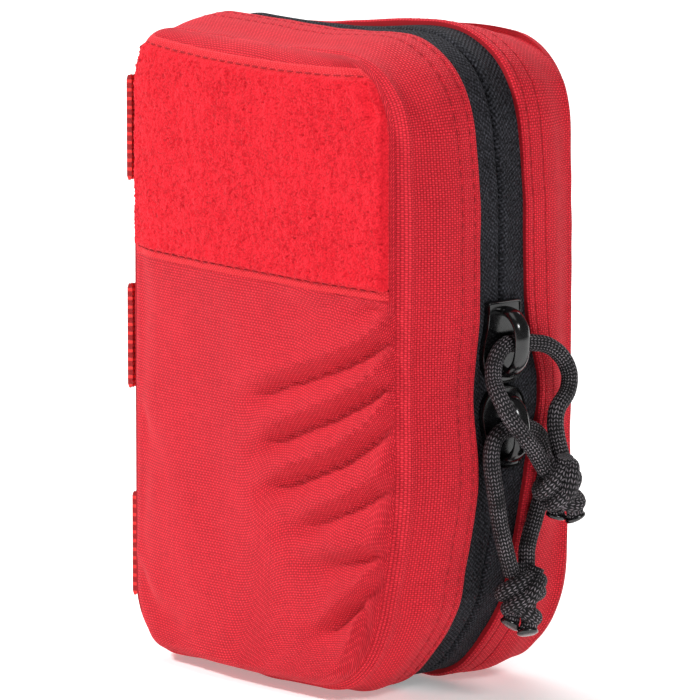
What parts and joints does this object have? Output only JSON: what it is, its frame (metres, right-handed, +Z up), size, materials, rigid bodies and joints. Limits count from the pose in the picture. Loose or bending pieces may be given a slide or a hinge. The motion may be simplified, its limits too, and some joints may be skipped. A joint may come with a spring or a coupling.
{
  "type": "first aid kit",
  "caption": "Soft clamshell first aid pouch with a loop panel in front, webbing on its spine and back, zip sliders with cord pulls, and dressings held inside.",
  "frame": {"origin": "bottom centre of the closed case, measured with its webbing and slider bridges but without the pull cords", "axes": "+Z up, -Y the front with the loop patch, +Y the back with the webbing straps, +X the zip side, -X the spine"},
  "size_m": [0.1227, 0.0653, 0.154],
  "materials": {
    "shell_fabric": "coarse plain weave nylon with a low sheen",
    "loop_fabric": "brushed loop pile between flat woven selvages",
    "webbing": "ribbed woven nylon webbing",
    "foam": "closed cell foam",
    "stiffener": "thin polyethylene sheet",
    "lining": "fine plain weave nylon lining",
    "binding": "grosgrain binding tape",
    "zip_tape": "woven polyester zip tape",
    "zip_coil": "nylon coil",
    "zip_stops": "crimped black metal",
    "mesh": "knitted nylon mesh",
    "elastic": "ribbed woven elastic",
    "paper_pack": "printed-free paper and film packet",
    "clear_pack": "folded metallised film in a clear packet",
    "studs": "black enamelled press stud",
    "bandage": "crepe bandage",
    "gauze": "open weave gauze",
    "medical_tape": "white medical tape",
    "core": "card core",
    "cotton": "folded cotton cloth",
    "slider": "glossy black enamel",
    "cord": "braided nylon cord"
  },
  "bodies": {
    "back_shell": {"back_panel": "shell_fabric", "back_gusset": "shell_fabric", "back_spine": "shell_fabric", "back_stiffener": "stiffener", "back_lining": "lining", "back_binding": "binding", "back_zip_tape": "zip_tape", "back_zip_coil": "zip_coil", "back_zip_stops": "zip_stops", "back_spine_row_top": "webbing", "back_spine_row_middle": "webbing", "back_spine_row_bottom": "webbing", "rear_row_top": "webbing", "rear_row_middle": "webbing", "rear_row_bottom": "webbing", "strap_left": "webbing", "strap_right": "webbing", "press_studs": "studs", "elastic_bandage": "bandage", "gauze_roll": "gauze", "tape_roll": "medical_tape", "tape_core": "core", "triangular_bandage": "cotton", "bandage_band": "elastic", "gauze_band": "elastic", "cloth_band": "elastic"},
    "front_shell": {"front_panel": "shell_fabric", "loop_patch": "loop_fabric", "front_gusset": "shell_fabric", "front_spine": "shell_fabric", "front_foam": "foam", "front_lining": "lining", "front_binding": "binding", "front_zip_tape": "zip_tape", "front_zip_coil": "zip_coil", "front_zip_stops": "zip_stops", "front_spine_row_top": "webbing", "front_spine_row_middle": "webbing", "front_spine_row_bottom": "webbing", "mesh_pocket": "mesh", "pocket_trim": "elastic", "plaster_pack": "paper_pack", "wipes_pack": "paper_pack", "foil_blanket": "clear_pack"},
    "upper_zip_pull": {"upper_slider": "slider", "upper_bridge": "slider", "upper_cord_front": "cord", "upper_cord_rear": "cord", "upper_knot": "cord"},
    "lower_zip_pull": {"lower_slider": "slider", "lower_bridge": "slider", "lower_cord_front": "cord", "lower_cord_rear": "cord", "lower_knot": "cord"}
  },
  "joints": [
    {"name": "case_opening", "type": "hinge", "parent": "back_shell", "child": "front_shell", "pos_m": [-0.0561, 0.00055, 0.077], "axis": [0, 0, -1], "range_deg": [0, 150]},
    {"name": "upper_zip_run", "type": "slide", "parent": "back_shell", "child": "upper_zip_pull", "axis": [0, 0, 1], "range_m": [0, 0.036]},
    {"name": "lower_zip_run", "type": "slide", "parent": "back_shell", "child": "lower_zip_pull", "axis": [0, 0, -1], "range_m": [0, 0.014]}
  ]
}
